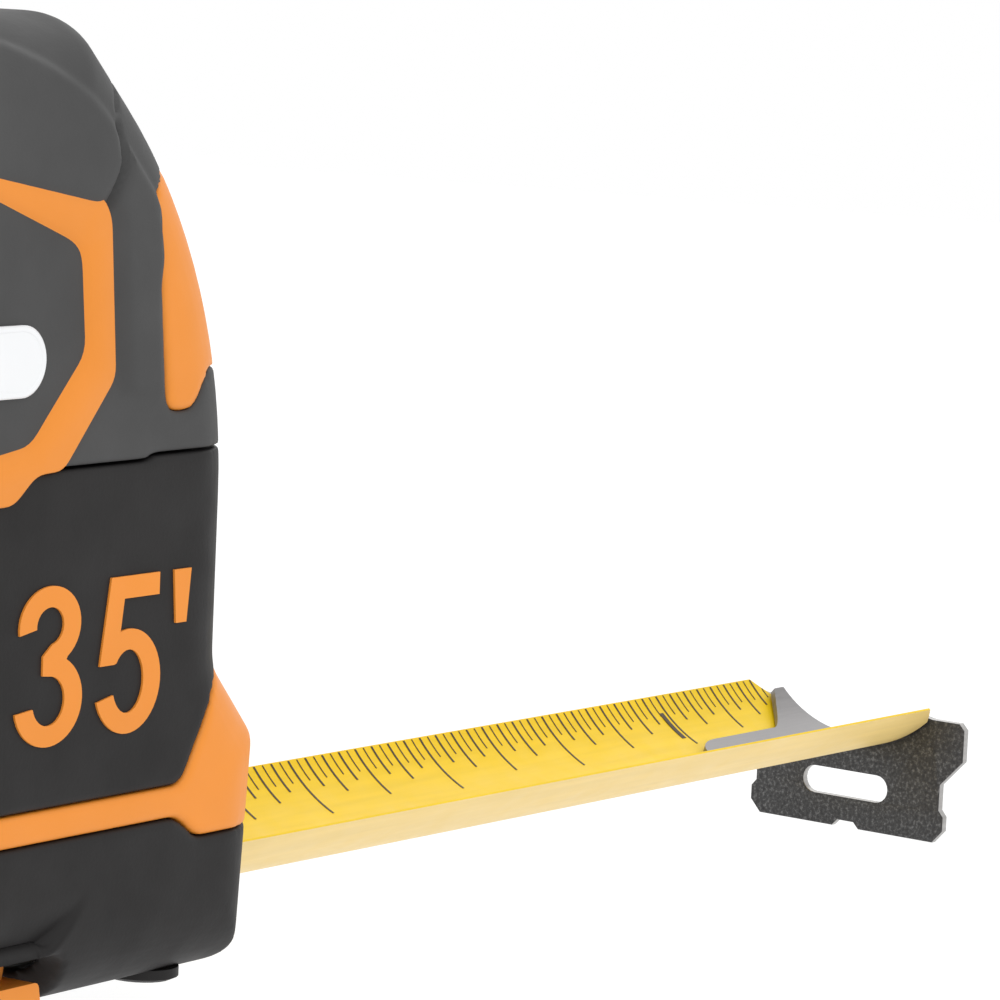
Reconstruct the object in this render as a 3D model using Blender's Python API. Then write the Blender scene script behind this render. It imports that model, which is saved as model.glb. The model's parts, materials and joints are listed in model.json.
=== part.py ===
"""A 35 ft tape measure: a rubber-covered case, a sprung reel, a curved steel blade pulled part of the way out, its
double hook, a thumb lock and a finger brake.

Frame: metres, +Z up, +X the way the blade pulls out, -Y the side with the length numerals. The origin is on the flat
of the base, under the front foot. Sizes below are in millimetres in the case's own frame, whose zero is under the
middle of the case: the empty "tape_measure" carries everything to the object's frame.
"""

import math

import bmesh
import bpy
from mathutils import Matrix, Vector

MM = 0.001
FOOT_X = 27.0  # the object's origin in the case's frame
GAP = 0.3  # between neighbouring solids

# Case outline seen from the side: (x, z, corner radius), anticlockwise from the bottom front
CASE_CORNERS = [
    (43.6, 0.0, 4.5),
    (45.4, 24.0, 3.0),
    (38.6, 31.5, 2.5),
    (38.8, 70.0, 53.0),
    (14.2, 93.8, 6.0),
    (-45.5, 91.5, 34.0),
    (-45.5, 0.0, 15.0),
]
CORNER_STEP = math.radians(11)
HALF_WIDTH = 26.0
EDGE_ROUND = 9.0
COVER = 3.0  # rubber and trim over the shell
WALL = 2.2  # the shell itself
SHELL_INSET = COVER + GAP
SHELL_HALF_WIDTH = HALF_WIDTH - SHELL_INSET
CAVITY_INSET = SHELL_INSET + WALL
CAVITY_HALF_WIDTH = SHELL_HALF_WIDTH - WALL - GAP

# The front of the case is an arc from its vertical stretch upwards, and the lock runs on it
ARC_X, ARC_Z, ARC_R = -14.2, 47.5, 53.0

# Reel
REEL_X, REEL_Z = -3.0, 46.5
SPINDLE_R = 4.8
DRUM_R, DRUM_BORE = 19.2, 17.4
COIL_R = 31.0
FLANGE_R = 32.4

# Blade: 1 1/4 in of thin steel, rolled to a circular section
BLADE_WIDTH = 31.75
BLADE_T = 0.25
BLADE_HALF_ANGLE = math.radians(50.8)
BLADE_R = BLADE_WIDTH / 2 / BLADE_HALF_ANGLE
BLADE_Z = 3.0  # lowest line of the blade
BLADE_INNER_X = 18.6
BLADE_END_X = 200.9
BLADE_CHAMFER = 3.0
MOUTH_HALF_WIDTH = 15.9
MOUTH_FLOOR, MOUTH_TOP = 1.0, 12.5

# Hook
HOOK_X = BLADE_END_X + 0.4
HOOK_T = 1.1
TONGUE_LENGTH = 25.5
TONGUE_HALF_ANGLE = math.radians(24)
RIVET_XS = (BLADE_END_X - 7.0, BLADE_END_X - 17.0)
RIVET_R = 1.5
TONGUE_T = 0.9
RIVET_HEAD = 0.4
RIVET_LOW = BLADE_Z - GAP
RIVET_HIGH = BLADE_Z + BLADE_T + GAP + TONGUE_T + GAP
RIVET_TOP = RIVET_HIGH + RIVET_HEAD
HOOK_PLAY = HOOK_T  # so that the blade reads true whether the hook is pulled or pushed


# ---------------------------------------------------------------- scene and materials


def clear_scene():
    for obj in list(bpy.data.objects):
        bpy.data.objects.remove(obj, do_unlink=True)


def material(name, color, roughness, metallic=0.0):
    made = bpy.data.materials.new(name)
    made.use_nodes = True
    shader = made.node_tree.nodes["Principled BSDF"]
    shader.inputs["Base Color"].default_value = (*color, 1.0)
    shader.inputs["Roughness"].default_value = roughness
    shader.inputs["Metallic"].default_value = metallic
    made.diffuse_color = (*color, 1.0)
    return made


def make_materials():
    return {
        "shell": material("shell", (0.020, 0.020, 0.022), 0.50),
        "grip": material("grip", (0.075, 0.077, 0.080), 0.80),
        "cover": material("cover", (0.036, 0.037, 0.040), 0.60),
        "trim": material("trim", (0.90, 0.29, 0.045), 0.45),
        "badge": material("badge", (0.80, 0.80, 0.78), 0.40),
        "blade": material("blade", (0.85, 0.58, 0.06), 0.35),
        "steel": material("steel", (0.36, 0.36, 0.36), 0.40, 1.0),
        "plastic": material("plastic", (0.55, 0.55, 0.52), 0.50),
    }


# ---------------------------------------------------------------- building blocks


def link(name, mesh, mat, parent, pivot=(0.0, 0.0, 0.0)):
    """A named object whose origin is at pivot; the mesh is given in the case's frame, in millimetres."""
    mesh.transform(Matrix.Translation(-Vector(pivot)))
    mesh.transform(Matrix.Scale(MM, 4))
    obj = bpy.data.objects.new(name, mesh)
    bpy.context.scene.collection.objects.link(obj)
    obj.parent = parent
    obj.location = Vector(pivot) * MM
    if mat is not None:
        mesh.materials.append(mat)
    mesh.shade_smooth()
    mesh.set_sharp_from_angle(angle=math.radians(28))
    return obj


def loft_into(bm, rings, flip=False):
    """Adds a closed body that joins rings of points, all of one count, with flat ends."""
    loops = [[bm.verts.new(point) for point in ring] for ring in rings]
    count = len(rings[0])
    faces = [bm.faces.new(loops[0]), bm.faces.new(reversed(loops[-1]))]
    for low, high in zip(loops, loops[1:]):
        for i in range(count):
            j = (i + 1) % count
            faces.append(bm.faces.new((low[i], high[i], high[j], low[j])))
    bmesh.ops.recalc_face_normals(bm, faces=faces)
    if flip:
        bmesh.ops.reverse_faces(bm, faces=faces)


def loft(*ring_lists):
    """A mesh of one closed body, or of a body and the hollows in it: the first list of rings is the outside."""
    bm = bmesh.new()
    for number, rings in enumerate(ring_lists):
        loft_into(bm, rings, flip=number > 0)
    mesh = bpy.data.meshes.new("loft")
    bm.to_mesh(mesh)
    bm.free()
    return mesh


def side_prism(outline, y0, y1):
    """Extrudes an outline of (x, z) points across the width."""
    return loft([[Vector((x, y, z)) for x, z in outline] for y in (y0, y1)])


def length_prism(outline, x0, x1):
    """Extrudes an outline of (y, z) points along the blade's direction."""
    return loft([[Vector((x, y, z)) for y, z in outline] for x in (x0, x1)])


def box(low, high):
    outline = [(low[0], low[2]), (high[0], low[2]), (high[0], high[2]), (low[0], high[2])]
    return side_prism(outline, low[1], high[1])


def circle(radius, count, x=0.0, z=0.0):
    turns = [2 * math.pi * i / count for i in range(count)]
    return [(x + radius * math.cos(a), z + radius * math.sin(a)) for a in turns]


def rod(radius, y0, y1, x, z, count=24):
    return side_prism(circle(radius, count, x, z), y0, y1)


def turned(profile, x, z, count):
    """Turns a closed loop of (radius, y) points about the Y direction through (x, z)."""
    bm = bmesh.new()
    rings = []
    for i in range(count):
        a = 2 * math.pi * i / count
        points = [(x + r * math.cos(a), y, z + r * math.sin(a)) for r, y in profile]
        rings.append([bm.verts.new(point) for point in points])
    for i in range(count):
        here, after = rings[i], rings[(i + 1) % count]
        for k in range(len(profile)):
            n = (k + 1) % len(profile)
            bm.faces.new((here[k], here[n], after[n], after[k]))
    bmesh.ops.recalc_face_normals(bm, faces=bm.faces)
    mesh = bpy.data.meshes.new("turned")
    bm.to_mesh(mesh)
    bm.free()
    return mesh


def boolean(obj, operation, cutter):
    cutter.hide_render = True
    cutter.display_type = "WIRE"
    modifier = obj.modifiers.new(f"{operation.lower()}_{cutter.name}", "BOOLEAN")
    modifier.operation = operation
    modifier.object = cutter
    modifier.solver = "EXACT"


# ---------------------------------------------------------------- outlines


def inward_edges(corners, inset):
    """Each edge of an anticlockwise outline, moved inwards: (point on it, its direction)."""
    edges = []
    for (x0, z0, _), (x1, z1, _) in zip(corners, corners[1:] + corners[:1]):
        along = Vector((x1 - x0, z1 - z0)).normalized()
        edges.append((Vector((x0, z0)) + Vector((-along.y, along.x)) * inset, along))
    return edges


def crossing(first, second):
    (p, d), (q, e) = first, second
    return p + d * ((q - p).cross(e) / d.cross(e))


def rounded(corners, inset=0.0):
    """The outline with its corners rounded, moved inwards by inset. It has the same number of points at any inset."""
    edges = inward_edges(corners, inset)
    points = []
    for i, (_, _, radius) in enumerate(corners):
        before, after = edges[i - 1], edges[i]
        corner = crossing(before, after)
        turn = math.atan2(before[1].cross(after[1]), before[1].dot(after[1]))
        left = math.copysign(1.0, turn)
        radius = max(radius - left * inset, 0.5)
        back = radius * math.tan(abs(turn) / 2)
        start = corner - before[1] * back
        side = Vector((-before[1].y, before[1].x)) * left
        centre = start + side * radius
        steps = max(2, math.ceil(abs(turn) / CORNER_STEP))
        for k in range(steps + 1):
            arm = -side * radius
            arm.rotate(Matrix.Rotation(turn * k / steps, 2))
            points.append(centre + arm)
    return points


def case_ring(inset, y):
    return [Vector((p.x, y, p.y)) for p in rounded(CASE_CORNERS, inset)]


def case_body(inset, half_width, edge, steps):
    """Rings across the case from one side to the other, with its long edges rounded."""
    quarter = [math.pi / 2 * k / steps for k in range(steps + 1)]
    half = [(half_width - edge * (1 - math.sin(a)), edge * (1 - math.cos(a))) for a in quarter]
    rings = [case_ring(inset + more, -y) for y, more in reversed(half)]
    return rings + [case_ring(inset + more, y) for y, more in half]


def arc_points(radius, low_deg, high_deg, count):
    spread = [math.radians(low_deg + (high_deg - low_deg) * k / count) for k in range(count + 1)]
    return [(ARC_X + radius * math.cos(a), ARC_Z + radius * math.sin(a)) for a in spread]


def arc_block(r0, r1, low_deg, high_deg, half_width, count=6):
    """A block that is concentric with the curved front of the case."""
    outline = arc_points(r1, low_deg, high_deg, count) + arc_points(r0, high_deg, low_deg, count)
    return side_prism(outline, -half_width, half_width)


# ---------------------------------------------------------------- covers over the case

FAR = 70.0  # beyond the case in any direction
GROOVE_Z, GROOVE_STEP_Z, GROOVE_STEP_X = 51.5, 52.0, 22.5
BAND_TOP, BAND_BOTTOM = 20.0, 17.0
NOSE_BOTTOM = 14.7


def upper_region(gap):
    return [
        (-FAR, GROOVE_Z + gap),
        (GROOVE_STEP_X - 0.4, GROOVE_Z + gap),
        (GROOVE_STEP_X + 0.3, GROOVE_STEP_Z + gap),
        (FAR, GROOVE_STEP_Z + gap),
        (FAR, 2 * FAR),
        (-FAR, 2 * FAR),
    ]


def lower_region(gap):
    return [
        (-FAR, BAND_TOP + gap),
        (28.8 - gap, BAND_TOP + gap),
        (33.7 - gap, 28.4 + gap),
        (37.6, 31.2 + gap),
        (FAR, 31.2 + gap),
        (FAR, GROOVE_STEP_Z),
        (GROOVE_STEP_X + 0.3, GROOVE_STEP_Z),
        (GROOVE_STEP_X - 0.4, GROOVE_Z),
        (-FAR, GROOVE_Z),
    ]


def nose_region():
    return [
        (-FAR, BAND_BOTTOM),
        (27.9, BAND_BOTTOM),
        (29.5, 16.2),
        (31.3, NOSE_BOTTOM),
        (FAR, NOSE_BOTTOM),
        (FAR, 31.2),
        (37.6, 31.2),
        (33.7, 28.4),
        (28.8, BAND_TOP),
        (-FAR, BAND_TOP),
    ]


def base_region():
    return [
        (-FAR, -FAR),
        (FAR, -FAR),
        (FAR, NOSE_BOTTOM - GAP),
        (31.2, NOSE_BOTTOM - GAP),
        (29.4, 16.2 - GAP),
        (27.8, BAND_BOTTOM - GAP),
        (-FAR, BAND_BOTTOM - GAP),
    ]


def trim_region(grow):
    return [
        (24.7 - grow, 55.9 - grow),
        (28.7, 55.8 - grow),
        (30.9 + grow / 2, 59.6 - grow),
        (FAR, 59.6 - grow),
        (FAR, 78.4 + grow),
        (25.6, 78.4 + grow),
        (21.8 - grow, 76.2 + grow / 2),
        (22.9 - grow, 68.3),
    ]


def cover_mesh():
    """All the covers as one hollow body, from which each cover takes its own stretch."""
    outside = case_body(0.0, HALF_WIDTH, EDGE_ROUND, 4)
    inside = case_body(COVER, HALF_WIDTH - COVER, EDGE_ROUND - COVER, 2)
    return loft(outside, inside)


def cover(name, region, y0, y1, mat, parent):
    obj = link(name, cover_mesh(), mat, parent)
    boolean(obj, "INTERSECT", link(f"{name}_region", side_prism(region, y0, y1), None, parent))
    return obj


def lock_window(parent):
    return link("lock_window", arc_block(48.0, 57.0, 12.6, 35.0, 8.3), None, parent)


def mouth_cutter(parent):
    low, high = (8.0, -MOUTH_HALF_WIDTH, MOUTH_FLOOR), (FAR, MOUTH_HALF_WIDTH, MOUTH_TOP)
    return link("mouth_cutter", box(low, high), None, parent)


def brake_window(name, half_width, top, parent):
    outline = [(-23.5, -5), (15.5, -5), (14.0, 3.0), (12.6, top), (-21.6, top)]
    return link(name, side_prism(outline, -half_width, half_width), None, parent)


def emblem_pocket(parent):
    outline = grown(mirrored(RING_OUTER), GAP)
    return link("emblem_pocket", side_prism(outline, -FAR, -HALF_WIDTH + POCKET_DEPTH), None, parent)


def make_covers(mats, cutters, parent):
    sides = {"near": (-FAR, -GAP / 2), "far": (GAP / 2, FAR)}
    made = {}
    for side, (y0, y1) in sides.items():
        grip = cover(f"upper_grip_{side}", upper_region(GAP), y0, y1, mats["grip"], parent)
        notch = link(f"trim_notch_{side}", side_prism(trim_region(GAP), -FAR, FAR), None, parent)
        boolean(grip, "DIFFERENCE", notch)
        boolean(grip, "DIFFERENCE", cutters["lock_window"])
        lower = cover(f"lower_cover_{side}", lower_region(GAP), y0, y1, mats["cover"], parent)
        trim = cover(f"front_trim_{side}", trim_region(0.0), y0, y1, mats["trim"], parent)
        boolean(trim, "DIFFERENCE", cutters["lock_window"])
        made[side] = (grip, lower, trim)
    base = cover("base_cover", base_region(), -FAR, FAR, mats["cover"], parent)
    boolean(base, "DIFFERENCE", cutters["mouth"])
    boolean(base, "DIFFERENCE", cutters["brake_outer"])
    nose = cover("nose_band", nose_region(), -FAR, FAR, mats["trim"], parent)
    pocket = emblem_pocket(parent)
    for near_cover in made["near"][:2]:
        boolean(near_cover, "DIFFERENCE", pocket)
    for far_cover in (made["far"][0], nose):
        boolean(far_cover, "DIFFERENCE", cutters["screw_heads"])
    boolean(base, "DIFFERENCE", cutters["screw_heads"])


# ---------------------------------------------------------------- shell halves

SCREW_PLACES = [(-36.0, 12.0), (-29.9, 75.9), (13.0, 83.5), (37.0, 20.5)]
POST_R, POST_BORE = 3.2, 1.7
HEAD_R, HEAD_WELL_R = 2.9, 3.3


def joined(meshes):
    """Several closed bodies in one mesh, for a cutter."""
    bm = bmesh.new()
    for mesh in meshes:
        bm.from_mesh(mesh)
        bpy.data.meshes.remove(mesh)
    made = bpy.data.meshes.new("joined")
    bm.to_mesh(made)
    bm.free()
    return made


def make_cutters(parent):
    wells = [rod(HEAD_WELL_R, SHELL_HALF_WIDTH - 1, FAR, x, z, 16) for x, z in SCREW_PLACES]
    bores = [rod(POST_BORE, -17.5, FAR, x, z, 12) for x, z in SCREW_PLACES]
    return {
        "lock_window": lock_window(parent),
        "lock_slot": link("lock_slot", arc_block(44.0, 51.5, 15.0, 30.5, 5.0), None, parent),
        "mouth": mouth_cutter(parent),
        "brake_outer": brake_window("brake_window_outer", FAR, 5.9, parent),
        "brake_inner": brake_window("brake_window_inner", 20.0, 7.4, parent),
        "screw_heads": link("screw_wells", joined(wells), None, parent),
        "screw_bores": link("screw_bores", joined(bores), None, parent),
    }


def shell_half(side, mats, cutters, parent):
    sign = {"near": -1, "far": 1}[side]
    wall_y = sign * (CAVITY_HALF_WIDTH + WALL / 2)
    outside = case_body(SHELL_INSET, SHELL_HALF_WIDTH, EDGE_ROUND - SHELL_INSET, 2)
    inside = case_body(CAVITY_INSET, CAVITY_HALF_WIDTH, EDGE_ROUND - CAVITY_INSET, 2)
    obj = link(f"case_{side}", loft(outside, inside), mats["shell"], parent)
    y0, y1 = sorted((sign * GAP / 2, sign * FAR))
    half = link(f"half_{side}", box((-FAR, y0, -FAR), (FAR, y1, 2 * FAR)), None, parent)
    boolean(obj, "INTERSECT", half)
    for number, (x, z) in enumerate(SCREW_PLACES, 1):
        y0, y1 = sorted((sign * GAP / 2, wall_y))
        post = link(f"post_{side}_{number}", rod(POST_R, y0, y1, x, z, 16), None, parent)
        boolean(obj, "UNION", post)
    y0, y1 = sorted((sign * (CAVITY_HALF_WIDTH - 2), wall_y))
    seat = turned([(SPINDLE_R + 0.4, y0), (7.6, y0), (7.6, y1), (SPINDLE_R + 0.4, y1)], REEL_X, REEL_Z, 24)
    boolean(obj, "UNION", link(f"spindle_seat_{side}", seat, None, parent))
    for name in ("lock_slot", "mouth", "brake_inner", "screw_bores"):
        boolean(obj, "DIFFERENCE", cutters[name])
    return obj


def make_screws(mats, parent):
    for number, (x, z) in enumerate(SCREW_PLACES, 1):
        top = SHELL_HALF_WIDTH + 0.3
        profile = [(0.0, top + 1.9), (HEAD_R * 0.75, top + 1.9), (HEAD_R, top + 1.1), (HEAD_R, top)]
        shank = [(POST_BORE - GAP, top), (POST_BORE - GAP, -15.5), (0.6, -16.5), (0.0, -16.5)]
        link(f"case_screw_{number}", solid_of_turn(profile + shank, x, z, 14), mats["steel"], parent)


def solid_of_turn(profile, x, z, count):
    """Turns an open (radius, y) profile that starts and ends on the axis."""
    inner = profile[1:-1]
    rings = []
    for r, y in inner:
        rings.append([Vector((px, y, pz)) for px, pz in circle(r, count, x, z)])
    return loft(rings)


# ---------------------------------------------------------------- side details

RING_OUTER = [
    (2.0, 48.6),
    (5.2, 51.2),
    (9.0, 51.4),
    (16.2, 59.6),
    (14.9, 74.4),
    (13.7, 76.2),
    (-3.0, 81.6),
]
RING_INNER = [(-3.0, 53.4), (4.2, 54.4), (11.5, 62.2), (10.6, 70.8), (9.4, 72.0), (-3.0, 76.4)]
RING_MIDDLE_X = -3.0
RING_HEIGHT = 1.3
POCKET_DEPTH = 1.2  # the ring and the badge are let into the near side
BADGE_LENGTH, BADGE_HEIGHT, BADGE_Z = 18.0, 6.6, 61.7


def mirrored(half):
    """Completes an outline whose right half is given bottom to top, about the ring's middle."""
    other = [(2 * RING_MIDDLE_X - x, z) for x, z in reversed(half)]
    full = list(half)
    for point in other:
        if all(math.dist(point, kept) > 0.01 for kept in full):
            full.append(point)
    return full


def grown(outline, amount):
    """The outline with each point moved away from its middle by about amount."""
    middle = sum((Vector(p) for p in outline), Vector((0.0, 0.0))) / len(outline)
    return [tuple(Vector(p) + (Vector(p) - middle).normalized() * amount * 1.5) for p in outline]


def pill(length, height, x, z, count=8):
    r = height / 2
    reach = length / 2 - r
    right = [(x + reach + r * math.cos(a), z + r * math.sin(a)) for a in half_turn(-90, 90, count)]
    left = [(x - reach + r * math.cos(a), z + r * math.sin(a)) for a in half_turn(90, 270, count)]
    return right + left


def half_turn(low, high, count):
    return [math.radians(low + (high - low) * k / count) for k in range(count + 1)]


def make_emblem(mats, parent):
    """A ring and a plain badge on the near side; the belt clip takes their place on the far side."""
    foot = -HALF_WIDTH + POCKET_DEPTH - GAP
    outer, hole = mirrored(RING_OUTER), side_prism(mirrored(RING_INNER), -FAR, FAR)
    ring = link("emblem_ring", side_prism(outer, foot - RING_HEIGHT, foot), mats["trim"], parent)
    boolean(ring, "DIFFERENCE", link("emblem_hole", hole, None, parent))
    badge = side_prism(pill(BADGE_LENGTH, BADGE_HEIGHT, RING_MIDDLE_X, BADGE_Z), foot - 0.5, foot)
    link("badge", badge, mats["badge"], parent)


NUMERALS = [("numeral_3", "3", 3.1, 12.9), ("numeral_5", "5", 14.7, 24.4), ("foot_mark", "'", 26.1, 28.7)]
NUMERAL_Z, NUMERAL_HEIGHT = 26.0, 14.9


def make_numerals(mats, parent):
    """Each length numeral is a thin inlay on the near side, set in the built-in font to a given width and height."""
    for name, glyph, x0, x1 in NUMERALS:
        curve = bpy.data.curves.new(name, "FONT")
        curve.body = glyph
        curve.resolution_u = 4
        probe = bpy.data.objects.new(f"{name}_probe", curve)
        bpy.context.scene.collection.objects.link(probe)
        bpy.context.view_layer.update()
        flat = bpy.data.meshes.new_from_object(probe.evaluated_get(bpy.context.evaluated_depsgraph_get()))
        bpy.data.objects.remove(probe)
        xs = [v.co.x for v in flat.vertices]
        ys = [v.co.y for v in flat.vertices]
        low, high = Vector((min(xs), min(ys))), Vector((max(xs), max(ys)))
        tall = NUMERAL_HEIGHT if glyph != "'" else 5.2
        base = NUMERAL_Z if glyph != "'" else NUMERAL_Z + NUMERAL_HEIGHT - tall
        scale_x, scale_z = (x1 - x0) / (high.x - low.x), tall / (high.y - low.y)
        bm = bmesh.new()
        bm.from_mesh(flat)
        bmesh.ops.remove_doubles(bm, verts=bm.verts, dist=1e-5)
        for v in bm.verts:
            x, z = x0 + (v.co.x - low.x) * scale_x, base + (v.co.y - low.y) * scale_z
            v.co = Vector((x, -HALF_WIDTH - GAP, z))
        grown = bmesh.ops.extrude_face_region(bm, geom=bm.faces)
        fresh = [v for v in grown["geom"] if isinstance(v, bmesh.types.BMVert)]
        bmesh.ops.translate(bm, verts=fresh, vec=(0, -0.5, 0))
        bmesh.ops.recalc_face_normals(bm, faces=bm.faces)
        bm.to_mesh(flat)
        bm.free()
        link(name, flat, mats["trim"], parent)


# ---------------------------------------------------------------- reel


def make_reel(mats, parent):
    pivot = (REEL_X, 0.0, REEL_Z)
    near, far = -BLADE_WIDTH / 2, BLADE_WIDTH / 2
    drum = [
        (SPINDLE_R + GAP, near - 1.3),
        (FLANGE_R, near - 1.3),
        (FLANGE_R, near - GAP),
        (DRUM_R, near - GAP),
        (DRUM_R, far),
        (DRUM_BORE, far),
        (DRUM_BORE, near + 0.4),
        (SPINDLE_R + GAP, near + 0.4),
    ]
    link("reel_drum", turned(drum, REEL_X, REEL_Z, 48), mats["plastic"], parent, pivot)
    disc = [(SPINDLE_R + GAP, far + GAP), (FLANGE_R, far + GAP), (FLANGE_R, far + 1.3), (SPINDLE_R + GAP, far + 1.3)]
    link("reel_cover", turned(disc, REEL_X, REEL_Z, 48), mats["plastic"], parent, pivot)
    coil = [(DRUM_R + GAP, near), (COIL_R, near), (COIL_R, far), (DRUM_R + GAP, far)]
    link("blade_coil", turned(coil, REEL_X, REEL_Z, 64), mats["blade"], parent, pivot)
    link("mainspring", spiral(6.2, 16.6, 6.0, 0.5, 13.0), mats["steel"], parent, pivot)
    reach = CAVITY_HALF_WIDTH - GAP
    link("spindle", rod(SPINDLE_R, -reach, reach, REEL_X, REEL_Z), mats["plastic"], parent, pivot)


def spiral(r0, r1, turns, thickness, half_width, per_turn=20):
    """A flat strip wound on itself, edge-on to the reel's axis."""
    rings = []
    steps = int(turns * per_turn)
    for k in range(steps + 1):
        a = 2 * math.pi * turns * k / steps
        middle = r0 + (r1 - r0) * k / steps
        ring = []
        for r, y in (
            (middle - thickness / 2, -half_width),
            (middle + thickness / 2, -half_width),
            (middle + thickness / 2, half_width),
            (middle - thickness / 2, half_width),
        ):
            ring.append(Vector((REEL_X + r * math.cos(a), y, REEL_Z + r * math.sin(a))))
        rings.append(ring)
    return loft(rings)


# ---------------------------------------------------------------- blade and hook


def blade_section(half_angle, share=1.0, count=14):
    """The rolled section as a closed loop of (y, height over the lowest line). It keeps its width as it flattens."""
    radius = BLADE_WIDTH / 2 / half_angle
    angles = [half_angle * share * (2 * k / count - 1) for k in range(count + 1)]
    under = [(radius * math.sin(a), radius * (1 - math.cos(a))) for a in angles]
    r = radius - BLADE_T
    over = [(r * math.sin(a), radius - r * math.cos(a)) for a in reversed(angles)]
    return under + over


def straight_ring(x, share=1.0):
    return [Vector((x, y, BLADE_Z + h)) for y, h in blade_section(BLADE_HALF_ANGLE, share)]


def make_blade(mats, parent):
    edge = BLADE_WIDTH / 2
    cut = 1 - BLADE_CHAMFER / edge
    rings = [straight_ring(x) for x in (BLADE_INNER_X, BLADE_END_X - BLADE_CHAMFER)]
    rings.append(straight_ring(BLADE_END_X, cut))
    blade = link("blade", loft(rings), mats["blade"], parent)
    holes = [rivet_hole(x, 0.0) for x in RIVET_XS]
    boolean(blade, "DIFFERENCE", link("blade_holes", joined(holes), None, parent))


def rivet_hole(x, slot):
    """A hole along Z for a rivet, lengthened along X where the hook slides on it."""
    outline = pill(2 * (RIVET_R + GAP) + slot, 2 * (RIVET_R + GAP), x - slot / 2, 0.0, 6)
    return loft([[Vector((px, py, z)) for px, py in outline] for z in (BLADE_Z - 2, BLADE_Z + 4)])


def make_lead(mats, parent):
    """The blade inside the case: it flattens as it climbs from the mouth to the underside of the coil."""
    start, end = Vector((BLADE_INNER_X - GAP, BLADE_Z)), Vector((-9.0, 15.35))
    pull_start, pull_end = start + Vector((-11, 0)), end + Vector((9.5, -2.1))
    steps = 10
    rings = []
    for k in range(steps + 1):
        t = k / steps
        spot = bezier(start, pull_start, pull_end, end, t)
        ahead = bezier(start, pull_start, pull_end, end, min(t + 0.01, 1.0))
        back = bezier(start, pull_start, pull_end, end, max(t - 0.01, 0.0))
        along = (ahead - back).normalized()
        up = Vector((along.y, -along.x))
        angle = BLADE_HALF_ANGLE * (1 - t) ** 2 + 0.02
        section = blade_section(angle)
        rings.append([Vector((spot.x + up.x * h, y, spot.y + up.y * h)) for y, h in section])
    link("blade_lead", loft(rings), mats["blade"], parent)


def bezier(a, b, c, d, t):
    s = 1 - t
    return a * s**3 + b * 3 * s * s * t + c * 3 * s * t * t + d * t**3


HOOK_HALF = [
    (0.0, -10.2),
    (1.2, -10.2),
    (2.0, -11.0),
    (13.0, -11.0),
    (14.4, -9.4),
    (14.4, -7.3),
    (13.7, -6.5),
    (13.7, -3.3),
    (17.2, 0.0),
    (17.2, 4.0),
    (16.4, 4.8),
    (12.4, 4.8),
]
SLOT_LENGTH, SLOT_HEIGHT, SLOT_Z = 12.0, 3.3, -5.4


def hook_outline():
    """The plate seen from the end, as (y, z): wings, waist, toothed foot, and a top edge that follows the blade."""
    r = BLADE_R - BLADE_T - GAP - TONGUE_T
    half = list(HOOK_HALF)
    for k in range(5):
        a = math.radians(40 - 40 * k / 4)
        half.append((r * math.sin(a), BLADE_R - r * math.cos(a) + (0.2 if k else 0.6)))
    full = [(y, BLADE_Z + h) for y, h in half]
    return full + [(-y, z) for y, z in reversed(full[1:-1])]


def tongue_mesh():
    """A strip that lies in the blade's hollow, with a round inner end."""
    low = BLADE_R - BLADE_T - GAP
    rings = []
    for x, share in tongue_stations():
        ring = []
        for r, order in ((low, 1), (low - TONGUE_T, -1)):
            for k in range(9)[::order]:
                a = TONGUE_HALF_ANGLE * share * (k / 4 - 1)
                ring.append(Vector((x, r * math.sin(a), BLADE_Z + BLADE_R - r * math.cos(a))))
        rings.append(ring)
    return loft(rings)


def tongue_stations():
    """(x, share of full width) along the tongue, from its round inner end to inside the plate."""
    inner = BLADE_END_X - TONGUE_LENGTH
    half = (BLADE_R - BLADE_T) * TONGUE_HALF_ANGLE
    turns = [math.radians(a) for a in (12, 30, 50, 70, 90)]
    stations = [(inner + half * (1 - math.cos(a)), math.sin(a)) for a in turns]
    return stations + [(HOOK_X + 0.5, 1.0)]


def make_hook(mats, parent):
    plate = length_prism(hook_outline(), HOOK_X, HOOK_X + HOOK_T)
    hook = link("hook", plate, mats["steel"], parent)
    boolean(hook, "UNION", link("hook_tongue", tongue_mesh(), None, parent))
    slot = pill(SLOT_LENGTH, SLOT_HEIGHT, 0.0, BLADE_Z + SLOT_Z, 6)
    cutter = length_prism(slot, HOOK_X - 5, HOOK_X + 5)
    boolean(hook, "DIFFERENCE", link("hook_slot", cutter, None, parent))
    holes = [rivet_hole(x, HOOK_PLAY) for x in RIVET_XS]
    boolean(hook, "DIFFERENCE", link("tongue_holes", joined(holes), None, parent))


def make_rivets(mats, parent):
    stations = [
        (RIVET_LOW - RIVET_HEAD, 1.5),
        (RIVET_LOW - 0.25, 2.2),
        (RIVET_LOW, 2.4),
        (RIVET_LOW, RIVET_R),
        (RIVET_HIGH, RIVET_R),
        (RIVET_HIGH, 2.4),
        (RIVET_HIGH + 0.25, 2.2),
        (RIVET_TOP, 1.5),
    ]
    for number, x in enumerate(RIVET_XS, 1):
        rings = [[Vector((px, py, z)) for px, py in circle(r, 16, x, 0.0)] for z, r in stations]
        link(f"rivet_{number}", loft(rings), mats["steel"], parent)


# ---------------------------------------------------------------- lock, brake and clip


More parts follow.
